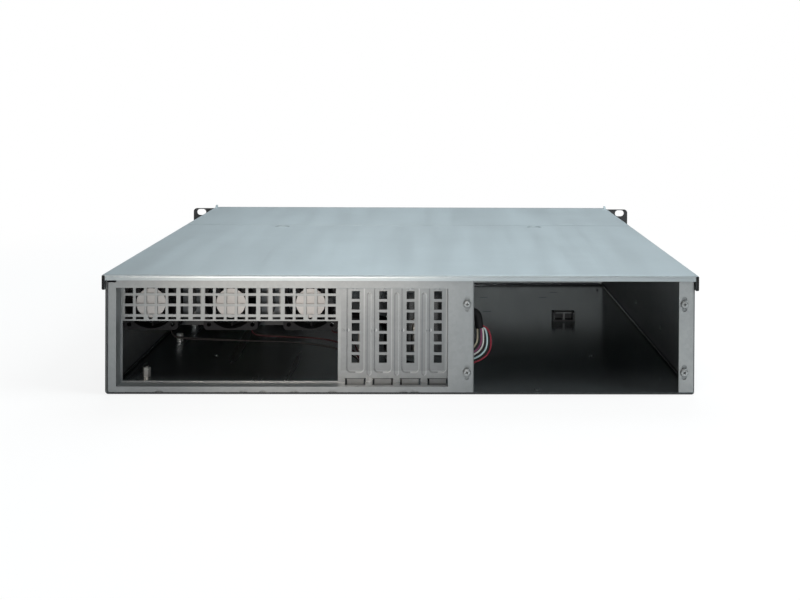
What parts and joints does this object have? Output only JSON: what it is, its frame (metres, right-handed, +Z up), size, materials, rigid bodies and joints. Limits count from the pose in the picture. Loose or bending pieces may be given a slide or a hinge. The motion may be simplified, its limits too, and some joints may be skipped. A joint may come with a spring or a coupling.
{
  "type": "rackmount server case",
  "caption": "Empty two-unit rackmount server case with a vented rear panel, sliding lid, exhaust fans, blanked expansion slots and an open power supply bay.",
  "frame": {"origin": "centre of the underside, midway between the ears' rear faces and the rear panel", "axes": "+Z up, +Y towards the rear panel, -Y towards the front with the ears"},
  "size_m": [0.4826, 0.5421, 0.0894],
  "materials": {
    "galvanised_sheet": "galvanised sheet with a soft sheen",
    "cover_sheet": "galvanised cover sheet, cool grey",
    "black_paint": "fine-textured black powder coat",
    "steel_screw": "zinc-plated screws",
    "black_screw": "black oxide screws",
    "handle_metal": "satin round bar",
    "fan_black": "black moulded plastic",
    "fan_label": "silver-grey foil label, bare",
    "standoff_metal": "bright nickel hexagons",
    "cap_plastic": "glossy black cap",
    "lamp_plastic": "translucent lamp",
    "board_green": "circuit board",
    "connector_black": "black connector plastic",
    "usb_metal": "tinned shell",
    "sleeve_black": "black sleeve",
    "wire_mixed": "coloured wire insulation",
    "lead_dark": "black and dark red leads",
    "tie_nylon": "black nylon",
    "latch_grey": "grey latch"
  },
  "bodies": {
    "case": {"board_posts": "steel_screw", "board_screws": "steel_screw", "cable_clip": "connector_black", "cage_screws": "steel_screw", "chassis_tray": "galvanised_sheet", "clip_latch": "latch_grey", "control_board": "board_green", "cover_screws": "steel_screw", "drive_cage": "galvanised_sheet", "ear_screws": "black_screw", "fan_bracket": "galvanised_sheet", "fan_frame_1": "fan_black", "fan_frame_2": "fan_black", "fan_frame_3": "fan_black", "fan_labels": "fan_label", "fan_leads": "lead_dark", "fan_plugs": "connector_black", "fan_rivets": "steel_screw", "fan_screws": "steel_screw", "front_cover": "cover_sheet", "front_panel": "black_paint", "handle_left": "handle_metal", "handle_right": "handle_metal", "handle_screws": "steel_screw", "harness_boot": "sleeve_black", "harness_loop": "wire_mixed", "harness_plug": "connector_black", "harness_sleeve": "sleeve_black", "harness_tie": "tie_nylon", "header_plug": "connector_black", "panel_screws": "black_screw", "psu_nut_plate_inner": "galvanised_sheet", "psu_nut_plate_outer": "galvanised_sheet", "psu_screws": "steel_screw", "rack_ear_left": "black_paint", "rack_ear_right": "black_paint", "rail_studs": "steel_screw", "rear_panel": "galvanised_sheet", "slot_cover_1": "galvanised_sheet", "slot_cover_2": "galvanised_sheet", "slot_cover_3": "galvanised_sheet", "slot_cover_4": "galvanised_sheet", "slot_screws": "steel_screw", "standoffs": "standoff_metal", "status_lights": "lamp_plastic", "tact_switches": "connector_black", "usb_port_lower": "usb_metal", "usb_port_upper": "usb_metal"},
    "lid": {"lid": "cover_sheet"},
    "power_button": {"power_button": "cap_plastic"},
    "reset_button": {"reset_button": "cap_plastic"},
    "impeller_1": {"fan_impeller_1": "fan_black"},
    "impeller_2": {"fan_impeller_2": "fan_black"},
    "impeller_3": {"fan_impeller_3": "fan_black"}
  },
  "joints": [
    {"name": "lid_slide", "type": "slide", "parent": "case", "child": "lid", "axis": [0, 1, 0], "range_m": [0, 0.32]},
    {"name": "power_button_press", "type": "slide", "parent": "case", "child": "power_button", "axis": [0, 1, 0], "range_m": [0, 0.0015], "stiffness_N_per_m": 900, "springref_m": -0.0004},
    {"name": "reset_button_press", "type": "slide", "parent": "case", "child": "reset_button", "axis": [0, 1, 0], "range_m": [0, 0.0015], "stiffness_N_per_m": 900, "springref_m": -0.0004},
    {"name": "fan_1_spin", "type": "hinge", "parent": "case", "child": "impeller_1", "pos_m": [0.06766, 0.225, 0.0637], "axis": [0, 1, 0], "continuous": true},
    {"name": "fan_2_spin", "type": "hinge", "parent": "case", "child": "impeller_2", "pos_m": [0.1265, 0.225, 0.0637], "axis": [0, 1, 0], "continuous": true},
    {"name": "fan_3_spin", "type": "hinge", "parent": "case", "child": "impeller_3", "pos_m": [0.18534, 0.225, 0.0637], "axis": [0, 1, 0], "continuous": true}
  ]
}
